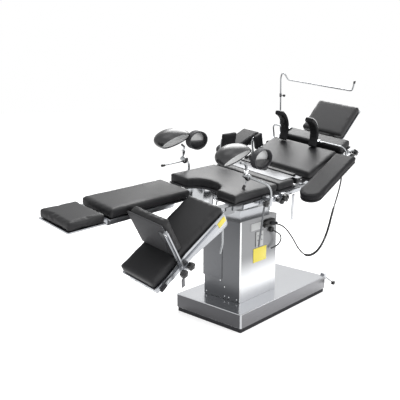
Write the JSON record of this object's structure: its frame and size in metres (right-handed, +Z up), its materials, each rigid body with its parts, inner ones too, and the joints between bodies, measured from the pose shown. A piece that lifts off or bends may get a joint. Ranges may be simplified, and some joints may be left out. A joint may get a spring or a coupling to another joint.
{
  "type": "operating table",
  "caption": "Tilting operating table: boxed base and column, split leg plates, raised back and head, side rails with arm boards, leg holders, supports and a drape screen.",
  "frame": {"origin": "on the floor under the middle of the base", "axes": "+X toward the head end, +Y toward the far side of the picture, +Z up"},
  "size_m": [2.3069, 0.8709, 1.4511],
  "materials": {
    "polished_steel": "polished stainless steel",
    "brushed_steel": "brushed stainless steel",
    "black_plastic": "matt black",
    "black_rubber": "matt black",
    "black_leather": "smooth black upholstery",
    "black_board": "black laminate board",
    "yellow_plate": "plain yellow and pale plates",
    "strap": "black webbing",
    "cable": "black cable"
  },
  "bodies": {
    "base": {"base_chassis": "brushed_steel", "base_cover": "polished_steel", "base_skirt": "black_rubber", "brake_bracket": "brushed_steel", "column_lower_cover": "brushed_steel", "column_plates": "yellow_plate", "column_controls": "black_plastic", "column_loop_cord": "cable", "hand_control_cord": "cable"},
    "brake": {"brake_lever": "brushed_steel"},
    "lift": {"column_inner_cover": "brushed_steel", "column_head": "brushed_steel"},
    "pitch_yoke": {"tilt_yoke": "brushed_steel"},
    "seat": {"seat_frame": "brushed_steel", "seat_plate": "black_board", "seat_pad_front": "black_leather", "seat_pad_rear": "black_leather", "drain_tray": "polished_steel", "seat_rails": "polished_steel", "seat_rail_clamps": "brushed_steel"},
    "kidney": {"kidney_bridge": "polished_steel"},
    "back": {"back_frame": "brushed_steel", "back_plate": "black_board", "back_pad_lower": "black_leather", "back_pad_upper": "black_leather", "back_rails": "polished_steel", "back_rail_clamps": "brushed_steel", "hand_control": "black_plastic"},
    "head": {"head_frame": "brushed_steel", "head_pad": "black_leather"},
    "knuckle_far": {"leg_knuckle_far": "brushed_steel"},
    "leg_far": {"leg_frame_far": "brushed_steel", "leg_pad_far": "black_leather"},
    "foot_far": {"foot_frame_far": "brushed_steel", "foot_pad_far": "black_leather"},
    "knuckle_near": {"leg_knuckle_near": "brushed_steel"},
    "leg_near": {"leg_frame_near": "brushed_steel", "leg_pad_near": "black_leather"},
    "foot_near": {"foot_frame_near": "brushed_steel", "foot_pad_near": "black_leather"},
    "holder_near": {"holder_rod_near": "polished_steel"},
    "trough_near": {"holder_trough_near": "black_plastic", "holder_strap_near": "strap"},
    "holder_far": {"holder_rod_far": "polished_steel"},
    "trough_far": {"holder_trough_far": "black_plastic", "holder_strap_far": "strap"},
    "arm_near": {"arm_plate_near": "black_board", "arm_pad_near": "black_leather"},
    "arm_post": {"arm_post_far": "polished_steel"},
    "arm_far": {"arm_plate_far": "black_board", "arm_pad_far": "black_leather"},
    "support_seat": {"support_rod_seat": "polished_steel", "support_pad_seat": "black_leather"},
    "support_back": {"support_rod_back": "polished_steel", "support_pad_back": "black_leather"},
    "shoulder_far": {"shoulder_rod_far": "polished_steel", "shoulder_pad_far": "black_leather"},
    "shoulder_near": {"shoulder_rod_near": "polished_steel", "shoulder_pad_near": "black_leather"},
    "screen": {"screen_bow": "polished_steel"}
  },
  "joints": [
    {"name": "brake_pedal", "type": "hinge", "parent": "base", "child": "brake", "pos_m": [0.481, -0.232, 0.1], "axis": [0, 1, 0], "range_deg": [-15, 20]},
    {"name": "column_lift", "type": "slide", "parent": "base", "child": "lift", "axis": [0, 0, 1], "range_m": [-0.05, 0.22], "deforming": ["hand_control_cord"]},
    {"name": "head_down_tilt", "type": "hinge", "parent": "lift", "child": "pitch_yoke", "pos_m": [-0.15, 0, 0.717], "axis": [0, 1, 0], "range_deg": [-22.2, 27.8]},
    {"name": "side_tilt", "type": "hinge", "parent": "pitch_yoke", "child": "seat", "pos_m": [-0.15, 0, 0.717], "axis": [0.9988, 0, 0.0489], "range_deg": [-29, 11]},
    {"name": "kidney_lift", "type": "slide", "parent": "seat", "child": "kidney", "axis": [-0.0482, -0.1564, 0.9865], "range_m": [0, 0.1]},
    {"name": "back_lift", "type": "hinge", "parent": "seat", "child": "back", "pos_m": [0.16084, -0.01236, 0.81035], "axis": [0.0076, -0.9877, -0.1562], "range_deg": [-35, 45]},
    {"name": "head_lift", "type": "hinge", "parent": "back", "child": "head", "pos_m": [0.68288, -0.04077, 1.01548], "axis": [0.0076, -0.9877, -0.1562], "range_deg": [-55, 15]},
    {"name": "leg_fold_far", "type": "hinge", "parent": "seat", "child": "knuckle_far", "pos_m": [-0.60341, 0.11376, 0.77571], "axis": [0.0076, -0.9877, -0.1562], "range_deg": [-15, 60]},
    {"name": "leg_swing_far", "type": "hinge", "parent": "knuckle_far", "child": "leg_far", "pos_m": [-0.66344, 0.22985, 0.77497], "axis": [0.0482, 0.1564, -0.9865], "range_deg": [0, 80]},
    {"name": "foot_slide_far", "type": "slide", "parent": "leg_far", "child": "foot_far", "axis": [-0.9988, 0, -0.0489], "range_m": [0, 0.12]},
    {"name": "leg_fold_near", "type": "hinge", "parent": "seat", "child": "knuckle_near", "pos_m": [-0.6015, -0.13316, 0.73665], "axis": [0.0076, -0.9877, -0.1562], "range_deg": [-46, 58]},
    {"name": "leg_swing_near", "type": "hinge", "parent": "knuckle_near", "child": "leg_near", "pos_m": [-0.64144, -0.23974, 0.67242], "axis": [-0.5587, -0.1338, 0.8185], "range_deg": [0, 80]},
    {"name": "foot_slide_near", "type": "slide", "parent": "leg_near", "child": "foot_near", "axis": [-0.8293, 0.081, -0.5528], "range_m": [-0.19, 0.14]},
    {"name": "holder_turn_near", "type": "hinge", "parent": "seat", "child": "holder_near", "pos_m": [-0.27445, -0.30405, 0.76407], "axis": [-0.0482, -0.1564, 0.9865], "range_deg": [-10, 60]},
    {"name": "trough_tilt_near", "type": "hinge", "parent": "holder_near", "child": "trough_near", "pos_m": [-0.37265, -0.21719, 0.8886], "axis": [-0.0076, 0.9877, 0.1562], "range_deg": [-20, 20]},
    {"name": "holder_turn_far", "type": "hinge", "parent": "seat", "child": "holder_far", "pos_m": [-0.33584, 0.27276, 0.85253], "axis": [0.0482, 0.1564, -0.9865], "range_deg": [-10, 60]},
    {"name": "trough_tilt_far", "type": "hinge", "parent": "holder_far", "child": "trough_far", "pos_m": [-0.42692, 0.21345, 0.95423], "axis": [-0.0076, 0.9877, 0.1562], "range_deg": [-20, 20]},
    {"name": "arm_swing_near", "type": "hinge", "parent": "back", "child": "arm_near", "pos_m": [0.44976, -0.35837, 0.89966], "axis": [-0.3659, -0.1482, 0.9188], "range_deg": [-2, 90]},
    {"name": "arm_post_lift", "type": "slide", "parent": "back", "child": "arm_post", "axis": [-0.3659, -0.1482, 0.9188], "range_m": [-0.015, 0.08]},
    {"name": "arm_swing_far", "type": "hinge", "parent": "arm_post", "child": "arm_far", "pos_m": [0.36737, 0.33736, 1.02259], "axis": [0.3659, 0.1482, -0.9188], "range_deg": [0, 90]},
    {"name": "support_lift_seat", "type": "slide", "parent": "seat", "child": "support_seat", "axis": [-0.0482, -0.1564, 0.9865], "range_m": [-0.08, 0.07]},
    {"name": "support_lift_back", "type": "slide", "parent": "back", "child": "support_back", "axis": [-0.3659, -0.1482, 0.9188], "range_m": [0, 0.045]},
    {"name": "shoulder_lift_far", "type": "slide", "parent": "back", "child": "shoulder_far", "axis": [-0.3659, -0.1482, 0.9188], "range_m": [0, 0.07]},
    {"name": "shoulder_lift_near", "type": "slide", "parent": "back", "child": "shoulder_near", "axis": [-0.3659, -0.1482, 0.9188], "range_m": [0, 0.07]},
    {"name": "screen_lift", "type": "slide", "parent": "back", "child": "screen", "axis": [-0.3659, -0.1482, 0.9188], "range_m": [-0.02, 0.08]}
  ]
}
